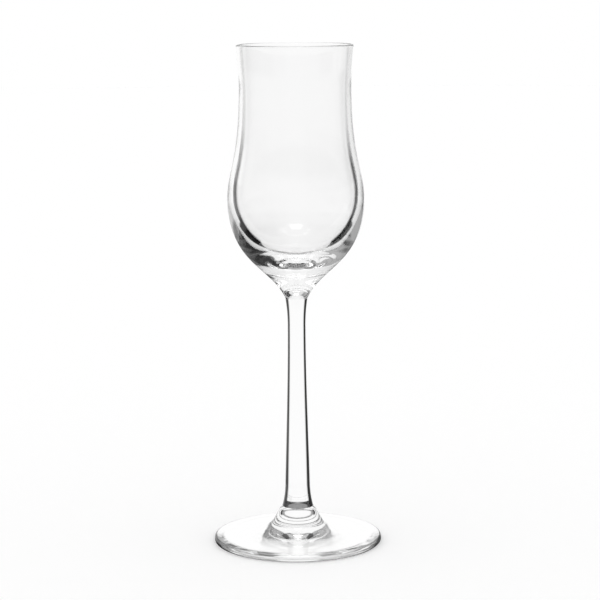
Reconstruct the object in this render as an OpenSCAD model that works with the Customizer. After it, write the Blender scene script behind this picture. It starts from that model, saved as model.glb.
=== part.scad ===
// Grappa glass: a tulip bowl, a drawn stem and a spread foot of clear glass, welded hot end to end.
// The table is at z = 0 and the glass stands on the z axis.

/* [Overall] */
// Height of the glass from the table to the rim
glass_h = 180; // [160:1:220]

/* [Bowl outside] */
// Height of the bowl from its weld with the stem to the rim
bowl_h = 90.5; // [84:0.5:105]
// Diameter of the rim
rim_d = 41.6; // [36:0.2:50]
// Diameter of the waist, the narrowest place below the rim
waist_d = 39.8; // [34:0.2:44]
// Depth of the waist below the rim
waist_drop = 14; // [8:0.5:24]
// Diameter of the belly, the widest place of the bowl
belly_d = 48.9; // [44:0.1:60]
// Depth of the belly below the rim
belly_drop = 54.5; // [46:0.5:62]
// Angle at which the lip leans outwards
lip_lean = 5; // [0:0.5:12]

/* [Bowl inside] */
// Depth of the cup from the rim to its bottom
cup_h = 77; // [68:0.5:82]
// Wall at the rim
rim_wall = 1; // [0.7:0.05:1.6]
// Wall beside the narrowest place inside
waist_wall = 1.1; // [0.8:0.05:2]
// Depth below the rim of the narrowest place inside
cup_waist_drop = 19; // [10:0.5:26]
// Wall beside the widest place inside
belly_wall = 2; // [1.2:0.05:3.5]
// Depth below the rim of the widest place inside
cup_belly_drop = 53; // [46:0.5:60]

/* [Stem] */
// Diameter of the weld between bowl and stem
neck_d = 7.9; // [7.2:0.1:10]
// Diameter of the stem at its thinnest
stem_d = 6.4; // [5:0.1:7.2]
// Distance of the thinnest place below the bowl
stem_drop = 10; // [6:0.5:20]
// Diameter of the stem where it starts to flare towards the foot
heel_d = 8.8; // [7.5:0.1:10.5]
// Height of the flare at the lower end of the stem
flare_h = 8.8; // [5:0.1:14]
// Diameter of the weld between stem and foot
heel_weld_d = 11.2; // [10.6:0.1:14]

/* [Foot] */
// Diameter of the foot
foot_d = 60.8; // [52:0.2:72]
// Height of the boss that carries the stem
boss_h = 13; // [9:0.5:18]
// Diameter at which the boss has run out into the plate
plate_d = 23.5; // [20:0.5:34]
// Thickness of the foot where the boss has run out
plate_t = 5.4; // [3.6:0.1:6.5]
// Thickness of the foot at its edge
edge_t = 2.5; // [2.2:0.1:3.2]
// Rounding of the edge of the foot
edge_round = 1; // [0.5:0.05:1.15]
// Width of the flat ring that stands on the table
ring_w = 3.5; // [1.5:0.1:5]
// Depth of the hollow under the foot
hollow_h = 1.9; // [0.6:0.1:2.4]

/* [Curves] */
// Angle at which the bowl leans outwards from its weld
neck_lean = 24; // [15:1:40]
// Share of the height from neck to belly over which the neck keeps its lean
neck_reach = 0.35; // [0.25:0.01:0.45]
// Share of the height from neck to belly over which the belly stays upright
belly_fall = 0.64; // [0.5:0.01:0.75]
// Share of the height from belly to waist over which the belly stays upright
belly_rise = 0.24; // [0.15:0.01:0.4]
// Share of the height from belly to waist over which the waist stays upright
waist_fall = 0.65; // [0.4:0.01:0.75]
// Share of the height from waist to rim over which waist and lip keep their directions
lip_ease = 0.3; // [0.2:0.01:0.45]
// Roundness of the bottom of the cup, 0.55 for an ellipse
cup_round = 0.58; // [0.45:0.01:0.7]
// Angle at which the stem leans outwards just below the bowl
crown_lean = 8; // [0:1:20]
// Angle at which the stem leans outwards just above the foot
heel_lean = 15; // [8:1:30]
// Share of each height over which the lines of the stem keep their directions
stem_ease = 0.35; // [0.25:0.01:0.45]
// Angle at which the boss leans outwards just below the stem
boss_lean = 50; // [30:1:55]
// Share of its height over which the boss keeps that lean
boss_fall = 0.32; // [0.2:0.01:0.45]
// Share of the height of the boss over which it runs out along the plate
boss_run = 0.42; // [0.3:0.01:0.6]

/* [Hidden] */
$fn = 160;
glass_colour = [0.9, 0.94, 0.95, 0.45];

// Steps along a long sweep, a short bend and a small rounding
sweep = 24;
bend = 12;
rounding = 5;

// Points on an outline are [distance from the axis, height above the table]
up = [0, 1];
out = [1, 0];

// Outside of the bowl, from the weld up
neck = [neck_d / 2, glass_h - bowl_h];
belly = [belly_d / 2, glass_h - belly_drop];
waist = [waist_d / 2, glass_h - waist_drop];

// Round lip between the two sides of the wall
lip_r = rim_wall / 2;
lip = [rim_d / 2 - lip_r, glass_h - lip_r];

// Inside of the bowl, from the lip down
cup_waist = [waist_d / 2 - waist_wall, glass_h - cup_waist_drop];
cup_belly = [belly_d / 2 - belly_wall, glass_h - cup_belly_drop];
cup_bottom = [0, glass_h - cup_h];

// Stem, from the bowl down to the foot
thin = neck - [neck_d / 2 - stem_d / 2, stem_drop];
heel = [heel_d / 2, boss_h + flare_h];
heel_weld = [heel_weld_d / 2, boss_h];

// Foot, from the boss out to the edge and back to the ring on the table
plate = [plate_d / 2, plate_t];
edge_top = [foot_d / 2 - edge_round, edge_t - edge_round];
edge_low = [foot_d / 2 - edge_round, edge_round];
ring = [edge_low[0] - ring_w, 0];
plate_fall = atan2(plate_t - edge_t, edge_top[0] - plate[0]);

// Direction that leans outwards from straight up by an angle
function leaning(angle) = [sin(angle), cos(angle)];

// Cubic curve from a to b, without its first point: it leaves along one pull and arrives along the other
function curve(a, leave, b, arrive, steps) =
    [for (i = [1 : steps])
        let (t = i / steps, s = 1 - t)
        s * s * s * a + 3 * s * s * t * (a + leave) + 3 * s * t * t * (b - arrive) + t * t * t * b];

// Round arc about a centre between two angles, without its first point
function arc(centre, radius, from, to, steps) =
    [for (i = [1 : steps])
        let (angle = from + (to - from) * i / steps)
        centre + radius * [cos(angle), sin(angle)]];

// Outside of the bowl from its weld up to the lip
function bowl_outside() =
    let (
        start = lip + lip_r * leaning(90 + lip_lean),
        low = belly[1] - neck[1],
        high = waist[1] - belly[1],
        flare = lip_ease * (start[1] - waist[1])
    )
    concat(
        [neck],
        curve(neck, neck_reach * low * leaning(neck_lean), belly, belly_fall * low * up, sweep),
        curve(belly, belly_rise * high * up, waist, waist_fall * high * up, sweep),
        curve(waist, flare * up, start, flare * leaning(lip_lean), bend)
    );

// Rounded lip from the outside over to the inside
function bowl_lip() =
    concat(
        arc(lip, lip_r, -lip_lean, 90, rounding),
        arc(lip, lip_r, 90, 180 - lip_lean, rounding)
    );

// Inside of the bowl from the lip down to the bottom of the cup
function bowl_inside() =
    let (
        start = lip - lip_r * leaning(90 + lip_lean),
        flare = lip_ease * (start[1] - cup_waist[1]),
        high = cup_waist[1] - cup_belly[1],
        low = cup_round * (cup_belly[1] - cup_bottom[1]),
        across = cup_round * cup_belly[0]
    )
    concat(
        curve(start, -flare * leaning(lip_lean), cup_waist, -flare * up, bend),
        curve(cup_waist, -waist_fall * high * up, cup_belly, -belly_rise * high * up, sweep),
        curve(cup_belly, -low * up, cup_bottom, -across * out, sweep)
    );

// Side of the stem from the foot up to the bowl
function stem_side() =
    let (
        shaft = stem_ease * (thin[1] - heel[1]),
        taper = leaning(atan2(thin[0] - heel[0], thin[1] - heel[1])),
        flare = stem_ease * flare_h,
        crown = stem_ease * stem_drop
    )
    concat(
        [heel_weld],
        curve(heel_weld, flare * leaning(-heel_lean), heel, flare * taper, bend),
        curve(heel, shaft * taper, thin, shaft * up, bend),
        curve(thin, crown * up, neck, crown * leaning(crown_lean), bend)
    );

// Top of the foot from its weld out to the rounded edge
function foot_top() =
    let (
        fall = boss_fall * (boss_h - plate_t),
        run = boss_run * (boss_h - plate_t)
    )
    concat(
        [heel_weld],
        curve(heel_weld, -fall * leaning(-boss_lean), plate, run * leaning(90 + plate_fall), bend),
        [edge_top + edge_round * leaning(plate_fall)],
        arc(edge_top, edge_round, 90 - plate_fall, 0, rounding)
    );

// Lower side of the foot from its edge over the ring into the hollow
function foot_underside() =
    concat(
        [edge_low + edge_round * out],
        arc(edge_low, edge_round, 0, -90, rounding),
        [for (i = [0 : bend])
            let (share = 1 - i / bend)
            share * ring + hollow_h * (1 - share * share) * up]
    );

module turned(outline) {
    color(glass_colour)
        rotate_extrude()
            polygon(outline);
}

// Blown tulip bowl with a thick, solid base that runs down to the neck
module bowl() {
    turned(concat([[0, neck[1]]], bowl_outside(), bowl_lip(), bowl_inside()));
}

// Solid drawn stem, thin below the bowl and flared where it stands on the foot
module stem() {
    turned(concat([[0, boss_h]], stem_side(), [[0, neck[1]]]));
}

// Spread foot with a raised boss, a rounded edge and a shallow hollow underneath
module foot() {
    turned(concat([[0, boss_h]], foot_top(), foot_underside()));
}

bowl();
stem();
foot();
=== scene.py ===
"""Clear grappa glass: bowl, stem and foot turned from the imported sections, in a white studio."""

from math import pi, radians

import bmesh
import bpy
from mathutils import Matrix, Vector


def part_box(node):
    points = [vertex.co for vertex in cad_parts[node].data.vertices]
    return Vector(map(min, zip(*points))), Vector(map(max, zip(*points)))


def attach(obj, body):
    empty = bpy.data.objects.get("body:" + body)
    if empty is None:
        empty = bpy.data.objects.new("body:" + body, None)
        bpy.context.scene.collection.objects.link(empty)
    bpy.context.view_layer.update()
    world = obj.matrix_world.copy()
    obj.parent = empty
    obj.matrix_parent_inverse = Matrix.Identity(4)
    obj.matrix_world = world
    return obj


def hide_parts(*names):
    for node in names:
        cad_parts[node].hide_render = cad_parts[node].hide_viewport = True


bl_info = {
    "name": "Grappa glass",
    "version": (1, 0, 0),
    "blender": (4, 5, 0),
    "location": "View3D > Sidebar > Glass",
    "description": "Turns the bowl, stem and foot of a clear grappa glass and sets up its studio",
    "category": "Add Mesh",
}

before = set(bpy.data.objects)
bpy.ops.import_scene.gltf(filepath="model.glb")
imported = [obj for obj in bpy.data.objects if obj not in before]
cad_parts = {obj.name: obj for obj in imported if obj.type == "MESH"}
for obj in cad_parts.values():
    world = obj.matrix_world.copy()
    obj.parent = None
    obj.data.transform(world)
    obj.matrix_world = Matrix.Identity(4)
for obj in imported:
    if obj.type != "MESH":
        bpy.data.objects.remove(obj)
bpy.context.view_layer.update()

MM = 0.001
# Points closer than this are one point, and a point this near the section plane is on it
MERGE = 0.001 * MM
# A bend flatter than this in the section only splits a straight line
STRAIGHT = radians(0.05)
# Lines of the section longer than LONG are cut into pieces no longer than CUT, so that smoothing keeps their shape
LONG = 3 * MM
CUT = 1.5 * MM

# Heights between which the wall of the bowl turns from thick to thin, and the painted dark edge shade of the cup
# fades
THICK = 136 * MM, 154 * MM
# How squarely the side of the cup and the rim of the foot look away from the axis, and what the rim lies below: these
# faces get the dark painted edge shade
CUP_SIDE = -0.6
RIM_SIDE = 0.3
RIM_TOP = 3 * MM

# Lengths of the slow waves that blowing, drawing and pressing leave, and how they lie: even, or drawn out along z
BLOWN_WAVE = 14 * MM
DRAWN_WAVE = 6 * MM
PRESSED_WAVE = 10 * MM
EVEN = 1, 1, 1
DRAWN_OUT = 1, 1, 0.1
# How far edge-on the painted edge shade starts and is full, from 0 for face-on to 1 for edge-on
BOWL_EDGE_SHADE = 0.96, 1.0
CUP_EDGE_SHADE = 0.6, 0.71
STEM_EDGE_SHADE = 0.28, 0.42
FOOT_EDGE_SHADE = 0.9, 1.0
RIM_EDGE_SHADE = 0.42, 0.66

# Width of the square picture in pixels and of the sensor in millimetres
PICTURE = 600
SENSOR = 36.0
CLIP = 0.01, 100.0
# The floor lies this far below the foot, so that they share no plane
FLOOR_GAP = 0.05 * MM
# Rays turn back many times in the thick base: fewer mirrored turns leave black spots at the neck, and more of them
# fade the arcs in the foot
BOUNCES = 40
MIRRORED_BOUNCES = 26


def linear(hex_colour):
    """Linear colour of an sRGB hex value."""
    parts = [int(hex_colour[i:i + 2], 16) / 255 for i in (1, 3, 5)]
    return [c / 12.92 if c <= 0.04045 else ((c + 0.055) / 1.055) ** 2.4 for c in parts] + [1.0]


class GlassSettings(bpy.types.PropertyGroup):
    """Fineness, optics and colours of the glass itself."""

    steps: bpy.props.IntProperty(
        name="Steps", description="Steps of a full turn", default=160, min=24)
    levels: bpy.props.IntProperty(
        name="Smoothing", description="Times the section is cut finer and smoothed", default=2, min=0, max=3)
    ior: bpy.props.FloatProperty(
        name="Refraction", description="Index of refraction of soda-lime glass", default=1.52, min=1.3, max=1.8)
    polish: bpy.props.FloatProperty(
        name="Roughness", description="Roughness of the fire-polished surface", default=0.0, min=0.0, max=0.2)
    wave: bpy.props.FloatProperty(
        name="Wave height", description="Height of the slow waves left in hot-worked glass",
        default=0.006 * MM, unit="LENGTH")
    colour: bpy.props.FloatVectorProperty(
        name="Colour", description="Colour of the glass", subtype="COLOR", size=4, min=0.0, max=1.0,
        default=linear("#ffffff"))
    # Painted shade: seen edge-on, the glass is painted pale grey on bowl and foot and black on cup, stem and rim, in
    # place of the dark room it would show
    pale_edge_shade: bpy.props.FloatVectorProperty(
        name="Pale edge shade", description="Colour of bowl and foot seen edge-on", subtype="COLOR", size=4, min=0.0,
        max=1.0, default=linear("#f0f0f0"))
    dark_edge_shade: bpy.props.FloatVectorProperty(
        name="Dark edge shade", description="Colour of cup, stem and rim seen edge-on", subtype="COLOR", size=4, min=0.0,
        max=1.0, default=linear("#000000"))
    # Share of the painted dark edge shade that the thin upper wall of the cup keeps
    thin_wall_shade: bpy.props.FloatProperty(
        name="Thin wall shade", description="Share of the dark edge that the thin upper wall of the cup keeps",
        default=0.3, min=0.0, max=1.0)


class StudioSettings(bpy.types.PropertyGroup):
    """Camera, floor and the light panels around the glass."""

    distance: bpy.props.FloatProperty(
        name="Distance", description="Distance of the camera from the axis of the glass",
        default=739.7 * MM, unit="LENGTH")
    height: bpy.props.FloatProperty(
        name="Height", description="Height of the camera above the floor", default=206.2 * MM, unit="LENGTH")
    pitch: bpy.props.FloatProperty(
        name="Pitch", description="Angle at which the camera looks down", default=radians(9.024), subtype="ANGLE")
    roll: bpy.props.FloatProperty(
        name="Roll", description="Lean of the camera about its line of sight", default=radians(-0.37),
        subtype="ANGLE")
    yaw: bpy.props.FloatProperty(
        name="Yaw", description="Turn of the camera away from the axis", default=radians(-0.099), subtype="ANGLE")
    focal: bpy.props.FloatProperty(
        name="Focal length", description="Focal length in pixels of the square picture", default=2084.0)
    floor: bpy.props.FloatProperty(
        name="Floor", description="Radius of the floor", default=3.0, unit="LENGTH")
    shade: bpy.props.FloatProperty(
        name="Light through glass", description="Share of the white light that the glass passes on to the floor",
        default=0.96, min=0.0, max=1.0)
    dark: bpy.props.FloatProperty(
        name="Dark room", description="Brightness of the room between the panels", default=0.01)


def add_node(tree, kind, inputs=None, **settings):
    """Adds a node, sets its settings and fills its inputs with links or plain values."""
    node = tree.nodes.new(kind)
    for name, value in settings.items():
        setattr(node, name, value)
    for socket, source in (inputs or {}).items():
        if isinstance(source, bpy.types.NodeSocket):
            tree.links.new(source, node.inputs[socket])
        else:
            node.inputs[socket].default_value = source
    return node


def new_material(name):
    """Empty node material with the name."""
    material = bpy.data.materials.new(name)
    material.use_nodes = True
    material.node_tree.nodes.clear()
    return material


def clear_glass(name, wave, stretch, edge, edge_shade_colour, upper=1.0, leaving=1.0):
    """Clear soda-lime glass: fire-polished, so its lines and lights are sharp and waver only slowly.

    Seen edge-on its colour is mixed towards a darker edge colour, a painted shade that stands in for the dark of the
    room: edge has how far edge-on that starts and is full, upper is the share of it that is left in the thin wall
    above THICK, and leaving the share of it where light leaves the glass.
    """
    settings = bpy.context.scene.glass
    material = new_material(name)
    tree = material.node_tree
    place = add_node(tree, "ShaderNodeTexCoord")
    drawn = add_node(tree, "ShaderNodeMapping", {"Vector": place.outputs["Object"], "Scale": stretch})
    waves = add_node(tree, "ShaderNodeTexNoise", {
        "Vector": drawn.outputs["Vector"], "Scale": 1 / wave, "Detail": 1.0, "Roughness": 0.4})
    bump = add_node(tree, "ShaderNodeBump", {
        "Strength": 1.0, "Distance": settings.wave, "Height": waves.outputs["Fac"]})
    grazing = add_node(tree, "ShaderNodeLayerWeight", {"Blend": 0.5})
    # Painted shade: how far edge-on the surface is decides how much of the dark edge colour is painted in
    edge_shade_fade = add_node(tree, "ShaderNodeMapRange", {
        "Value": grazing.outputs["Facing"], "From Min": edge[0], "From Max": edge[1]},
        interpolation_type="SMOOTHSTEP")
    height = add_node(tree, "ShaderNodeSeparateXYZ", {"Vector": place.outputs["Object"]})
    wall = add_node(tree, "ShaderNodeMapRange", {
        "Value": height.outputs["Z"], "From Min": THICK[0], "From Max": THICK[1], "To Min": 1.0, "To Max": upper},
        interpolation_type="SMOOTHSTEP")
    side = add_node(tree, "ShaderNodeNewGeometry")
    passage = add_node(tree, "ShaderNodeMapRange", {
        "Value": side.outputs["Backfacing"], "To Min": 1.0, "To Max": leaving})
    share = edge_shade_fade.outputs["Result"]
    for limit in (wall, passage):
        share = add_node(tree, "ShaderNodeMath", {0: share, 1: limit.outputs["Result"]},
                         operation="MULTIPLY").outputs[0]
    # Painted shade: the glass colour is mixed towards the edge colour where it is seen edge-on
    edge_shade_tint = add_node(tree, "ShaderNodeMix", {"Factor": share, "A": settings.colour, "B": edge_shade_colour},
                    data_type="RGBA")
    shader = add_node(tree, "ShaderNodeBsdfPrincipled", {
        "Base Color": edge_shade_tint.outputs["Result"], "Roughness": settings.polish, "IOR": settings.ior,
        "Transmission Weight": 1.0, "Normal": bump.outputs["Normal"]})
    add_node(tree, "ShaderNodeOutputMaterial", {"Surface": shader.outputs["BSDF"]})
    return material


def fused_weld():
    """Weld between two pieces: the glass runs through it unbroken, so it can't be seen."""
    material = new_material("Hot weld in clear glass")
    tree = material.node_tree
    through = add_node(tree, "ShaderNodeBsdfTransparent", {"Color": linear("#ffffff")})
    add_node(tree, "ShaderNodeOutputMaterial", {"Surface": through.outputs["BSDF"]})
    return material


def matt_paint():
    """Matt white paint, sprayed: even and without gloss, so that only the faint shadow of the glass shows on it."""
    material = new_material("Matt white paint")
    tree = material.node_tree
    white = add_node(tree, "ShaderNodeBsdfDiffuse", {"Color": linear("#ffffff")})
    add_node(tree, "ShaderNodeOutputMaterial", {"Surface": white.outputs["BSDF"]})
    return material


# Places of the materials on a piece: its welds, its body and the part of it that has a glass of its own, with a
# darker painted edge shade
WELD, BODY, PART = range(3)


def on_section(vertex):
    """Whether a vertex lies in the half plane y = 0, x >= 0, where the solids have their seam."""
    return abs(vertex.co.y) < MERGE and vertex.co.x > -MERGE


def at_weld(vertex, weld_heights):
    """Whether a vertex lies on one of the flat welds."""
    return any(abs(vertex.co.z - z) < MERGE for z in weld_heights)


def section(node, weld_heights):
    """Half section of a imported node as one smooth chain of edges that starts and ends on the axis."""
    shape = bmesh.new()
    shape.from_mesh(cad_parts[node].data)
    bmesh.ops.remove_doubles(shape, verts=shape.verts[:], dist=MERGE)
    off = [v for v in shape.verts if not on_section(v)]
    bmesh.ops.delete(shape, geom=off, context="VERTS")
    bmesh.ops.dissolve_limit(shape, angle_limit=STRAIGHT, verts=shape.verts[:], edges=shape.edges[:])
    open_ends = [v for v in shape.verts if len(v.link_edges) == 1 and v.co.x > MERGE]
    on_axis = bmesh.ops.extrude_vert_indiv(shape, verts=open_ends)["verts"]
    bmesh.ops.scale(shape, verts=on_axis, vec=(0, 0, 1))
    if sorted(len(v.link_edges) for v in shape.verts) != [1, 1] + [2] * (len(shape.verts) - 2):
        raise RuntimeError(f"The section of {node} is not one line from the axis back to the axis")
    for edge in [e for e in shape.edges if e.calc_length() > LONG]:
        bmesh.ops.subdivide_edges(shape, edges=[edge], cuts=int(edge.calc_length() / CUT))
    for _ in range(bpy.context.scene.glass.levels):
        bmesh.ops.subdivide_edges(shape, edges=shape.edges[:], cuts=1)
        on_axis = [v for v in shape.verts if v.co.x < MERGE]
        rims = [v for v in shape.verts if at_weld(v, weld_heights)
                and not all(at_weld(e.other_vert(v), weld_heights) for e in v.link_edges)]
        bmesh.ops.smooth_vert(shape, verts=[v for v in shape.verts if v not in rims], factor=0.5,
                              use_axis_x=True, use_axis_y=True, use_axis_z=True)
        bmesh.ops.scale(shape, verts=on_axis, vec=(0, 1, 1))
    return shape


def outwards(face):
    """How squarely a face looks away from the axis, from -1 to 1."""
    centre = face.calc_center_median()
    return face.normal.dot(Vector((centre.x, centre.y, 0)).normalized())


def in_cup(face):
    """Whether a face is on the upright side of the cup."""
    return outwards(face) < CUP_SIDE


def on_rim(face):
    """Whether a face is on the rounded rim of the foot."""
    return outwards(face) > RIM_SIDE and face.calc_center_median().z < RIM_TOP


def turned_piece(node, weld_heights, body, part=None, on_part=None):
    """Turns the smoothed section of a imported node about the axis, with its welds kept flat and sharp."""
    shape = section(node, weld_heights)
    bmesh.ops.spin(shape, geom=shape.verts[:] + shape.edges[:], axis=(0, 0, 1), cent=(0, 0, 0),
                   angle=2 * pi, steps=bpy.context.scene.glass.steps, use_merge=True)
    bmesh.ops.remove_doubles(shape, verts=shape.verts[:], dist=MERGE)
    bmesh.ops.recalc_face_normals(shape, faces=shape.faces[:])
    for face in shape.faces:
        face.smooth = True
        if all(at_weld(v, weld_heights) for v in face.verts):
            face.material_index = WELD
        elif part and on_part(face):
            face.material_index = PART
        else:
            face.material_index = BODY
    for edge in shape.edges:
        if {f.material_index for f in edge.link_faces} == {WELD, BODY}:
            edge.smooth = False
    mesh = bpy.data.meshes.new(f"{node}_glass")
    shape.to_mesh(mesh)
    shape.free()
    for material in filter(None, (fused_weld(), body, part)):
        mesh.materials.append(material)
    piece = bpy.data.objects.new(f"{node}_glass", mesh)
    bpy.context.scene.collection.objects.link(piece)
    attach(piece, "root")
    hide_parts(node)


class GLASS_OT_bowl(bpy.types.Operator):
    """Turn the blown bowl"""

    bl_idname = "glass.bowl"
    bl_label = "Bowl"

    def execute(self, context):
        glass = context.scene.glass
        # Painted shade: the outside is painted pale grey seen edge-on, the upright inside of the cup dark
        outside = clear_glass("Blown clear soda-lime glass", BLOWN_WAVE, EVEN, BOWL_EDGE_SHADE, glass.pale_edge_shade)
        inside = clear_glass("Blown clear soda-lime glass, inside", BLOWN_WAVE, EVEN, CUP_EDGE_SHADE, glass.dark_edge_shade,
                             upper=glass.thin_wall_shade)
        turned_piece("bowl", [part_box("bowl")[0].z], outside, inside, in_cup)
        return {"FINISHED"}


class GLASS_OT_stem(bpy.types.Operator):
    """Turn the drawn stem"""

    bl_idname = "glass.stem"
    bl_label = "Stem"

    def execute(self, context):
        # Painted shade: the stem is painted dark seen edge-on
        body = clear_glass("Drawn clear soda-lime glass", DRAWN_WAVE, DRAWN_OUT, STEM_EDGE_SHADE,
                           context.scene.glass.dark_edge_shade)
        low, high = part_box("stem")
        turned_piece("stem", [low.z, high.z], body)
        return {"FINISHED"}


class GLASS_OT_foot(bpy.types.Operator):
    """Turn the spread foot"""

    bl_idname = "glass.foot"
    bl_label = "Foot"

    def execute(self, context):
        glass = context.scene.glass
        # Painted shade: the plate is painted pale grey seen edge-on, the rim dark
        plate = clear_glass("Pressed clear soda-lime glass", PRESSED_WAVE, EVEN, FOOT_EDGE_SHADE, glass.pale_edge_shade)
        rim = clear_glass("Pressed clear soda-lime glass, rim", PRESSED_WAVE, EVEN, RIM_EDGE_SHADE, glass.dark_edge_shade,
                          leaving=0.0)
        turned_piece("foot", [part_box("foot")[1].z], plate, rim, on_rim)
        return {"FINISHED"}


# Surroundings for rays that were turned back inside the glass, later ones over earlier ones. Each has its middle and
# half its width as azimuths (0 behind the glass, positive to the right), its lowest and highest elevation, its
# brightness, and half the angle over which it fades out, with all angles in degrees.
PANELS = {
    "pale room": (180, 140, -27, 62, 0.42, 3),
    "white wall behind": (-12, 56, 0.5, 90, 1.0, 1.5),
    "white sheet on the table": (0, 26, -90, 3, 1.0, 2),
    "far end of the sheet": (2, 42, -30, 1, 0.97, 1.2),
    "near end of the sheet": (0, 56, -90, -52, 0.5, 2),
    "pale wall on the left": (-82, 14, 1, 62, 0.5, 4),
    "room at the left front": (-133, 18, 1, 62, 0.4, 4),
    "flag at the left": (-108, 18, 1, 12, 0.1, 4),
    "room at the right front": (147, 14, 1, 60, 0.2, 6),
    "flag at the right": (92, 42, 1, 60, 0.02, 2),
    "ceiling": (0, 180, 62, 90, 0.9, 3),
    "table in front": (180, 55, -90, -50, 0.25, 3),
    "softbox above": (180, 32, 65, 79, 4.0, 1.2),
}
# Surroundings that the surface of the glass mirrors, given in the same way
MIRRORED = {
    "room": (0, 180, -90, 90, 0.75, 1),
    "white wall behind": (0, 50, -20, 90, 1.0, 2),
    "dark table": (0, 180, -90, -24, 0.1, 2),
    "far end of the table": (0, 46, -25, -13, 0.1, 1),
    "flag on the right": (48, 28, -25, 15, 0.3, 2),
    "room in front": (180, 100, -20, 90, 1.0, 2),
    "softbox above": (180, 32, 65, 79, 4.0, 1.2),
}


def surroundings(tree, turn, rise, panels, dark):
    """Brightness by direction: the panels painted over a dark room, each with soft edges."""
    level = dark
    for middle, half, low, high, bright, fade_out in panels.values():
        edge = radians(fade_out)
        off = add_node(tree, "ShaderNodeMath", {0: turn, 1: radians(middle)}, operation="SUBTRACT")
        near = add_node(tree, "ShaderNodeMath", {0: off.outputs[0], 1: pi, 2: -pi}, operation="WRAP")
        apart = add_node(tree, "ShaderNodeMath", {0: near.outputs[0]}, operation="ABSOLUTE")
        mask = 1.0
        for value, inner, outer in (
            (apart.outputs[0], radians(half) - edge, radians(half) + edge),
            (rise, radians(low) + edge, radians(low) - edge),
            (rise, radians(high) - edge, radians(high) + edge),
        ):
            fade = add_node(tree, "ShaderNodeMapRange", {
                "Value": value, "From Min": outer, "From Max": inner}, interpolation_type="SMOOTHSTEP")
            mask = add_node(tree, "ShaderNodeMath", {0: mask, 1: fade.outputs["Result"]},
                            operation="MULTIPLY").outputs[0]
        level = add_node(tree, "ShaderNodeMix", {"Factor": mask, "A": level, "B": bright},
                         data_type="FLOAT").outputs["Result"]
    return level


def studio_world(studio):
    """White world for the camera, the floor and rays that only pass through the glass.

    Rays that were turned back inside the glass, or that its surface mirrors, see panels in a dark room.
    """
    world = bpy.data.worlds.new("Studio")
    bpy.context.scene.world = world
    world.use_nodes = True
    tree = world.node_tree
    tree.nodes.clear()
    way = add_node(tree, "ShaderNodeTexCoord")
    parts = add_node(tree, "ShaderNodeSeparateXYZ", {"Vector": way.outputs["Generated"]})
    turn = add_node(tree, "ShaderNodeMath", {0: parts.outputs["X"], 1: parts.outputs["Y"]}, operation="ARCTAN2")
    rise = add_node(tree, "ShaderNodeMath", {0: parts.outputs["Z"]}, operation="ARCSINE")
    angles = turn.outputs[0], rise.outputs[0]
    seen = surroundings(tree, *angles, PANELS, studio.dark)
    mirrored = surroundings(tree, *angles, MIRRORED, studio.dark)
    path = add_node(tree, "ShaderNodeLightPath")
    turned_back = add_node(tree, "ShaderNodeMath", {0: path.outputs["Glossy Depth"], 1: 1.0}, operation="MINIMUM")
    through = add_node(tree, "ShaderNodeMix", {"Factor": turned_back.outputs[0], "A": 1.0, "B": seen},
                       data_type="FLOAT").outputs["Result"]
    on_floor = add_node(tree, "ShaderNodeMath", {0: path.outputs["Diffuse Depth"], 1: studio.shade},
                        operation="MULTIPLY", use_clamp=True).outputs[0]
    strength = 1.0
    for ray, level in (
        (path.outputs["Is Glossy Ray"], mirrored),
        (path.outputs["Is Transmission Ray"], through),
        (on_floor, 1.0),
    ):
        strength = add_node(tree, "ShaderNodeMix", {"Factor": ray, "A": strength, "B": level},
                            data_type="FLOAT").outputs["Result"]
    light = add_node(tree, "ShaderNodeBackground", {"Color": linear("#ffffff"), "Strength": strength})
    add_node(tree, "ShaderNodeOutputWorld", {"Surface": light.outputs["Background"]})


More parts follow.
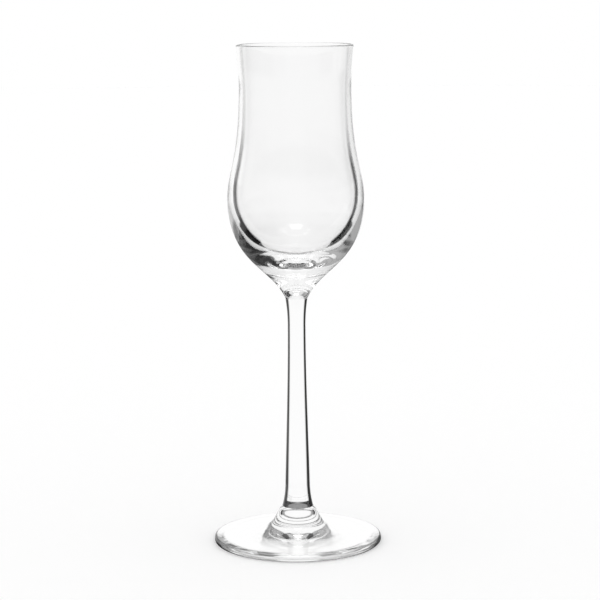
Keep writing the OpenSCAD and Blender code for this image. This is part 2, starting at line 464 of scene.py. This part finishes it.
class GLASS_OT_stage(bpy.types.Operator):
    """Set up floor, studio light and camera"""

    bl_idname = "glass.stage"
    bl_label = "Stage"

    def execute(self, context):
        scene = context.scene
        studio = scene.studio
        shape = bmesh.new()
        bmesh.ops.create_circle(shape, cap_ends=True, segments=96, radius=studio.floor)
        bmesh.ops.translate(shape, verts=shape.verts[:], vec=(0, 0, -FLOOR_GAP))
        mesh = bpy.data.meshes.new("studio_floor")
        shape.to_mesh(mesh)
        shape.free()
        mesh.materials.append(matt_paint())
        floor = bpy.data.objects.new("studio_floor", mesh)
        scene.collection.objects.link(floor)
        # The glass sees the white of the world in place of the floor
        floor.visible_transmission = False
        floor.visible_glossy = False
        studio_world(studio)
        lens = bpy.data.cameras.new("Camera")
        lens.sensor_width = SENSOR
        lens.lens = studio.focal * SENSOR / PICTURE
        lens.clip_start, lens.clip_end = CLIP
        camera = bpy.data.objects.new("Camera", lens)
        scene.collection.objects.link(camera)
        camera.matrix_world = (
            Matrix.Translation(Vector((0, -studio.distance, studio.height)))
            @ Matrix.Rotation(studio.yaw, 4, "Z")
            @ Matrix.Rotation(pi / 2 - studio.pitch, 4, "X")
            @ Matrix.Rotation(studio.roll, 4, "Z")
        )
        scene.camera = camera
        scene.view_settings.view_transform = "Standard"
        scene.cycles.max_bounces = BOUNCES
        scene.cycles.transmission_bounces = BOUNCES
        scene.cycles.glossy_bounces = MIRRORED_BOUNCES
        scene.cycles.transparent_max_bounces = BOUNCES
        return {"FINISHED"}


class GLASS_PT_panel(bpy.types.Panel):
    """Lists the pieces of the glass, its stage and their settings"""

    bl_label = "Grappa glass"
    bl_idname = "GLASS_PT_panel"
    bl_space_type = "VIEW_3D"
    bl_region_type = "UI"
    bl_category = "Glass"

    def draw(self, context):
        for operator in OPERATORS:
            self.layout.operator(operator.bl_idname)
        for group in (context.scene.glass, context.scene.studio):
            for name in type(group).__annotations__:
                self.layout.prop(group, name)


OPERATORS = (GLASS_OT_bowl, GLASS_OT_stem, GLASS_OT_foot, GLASS_OT_stage)
CLASSES = (GlassSettings, StudioSettings, *OPERATORS, GLASS_PT_panel)


def register():
    for cls in CLASSES:
        bpy.utils.register_class(cls)
    bpy.types.Scene.glass = bpy.props.PointerProperty(type=GlassSettings)
    bpy.types.Scene.studio = bpy.props.PointerProperty(type=StudioSettings)


def unregister():
    del bpy.types.Scene.studio
    del bpy.types.Scene.glass
    for cls in reversed(CLASSES):
        bpy.utils.unregister_class(cls)


def main():
    register()
    bpy.ops.glass.bowl()
    bpy.ops.glass.stem()
    bpy.ops.glass.foot()
    bpy.ops.glass.stage()


if __name__ == "__main__":
    main()
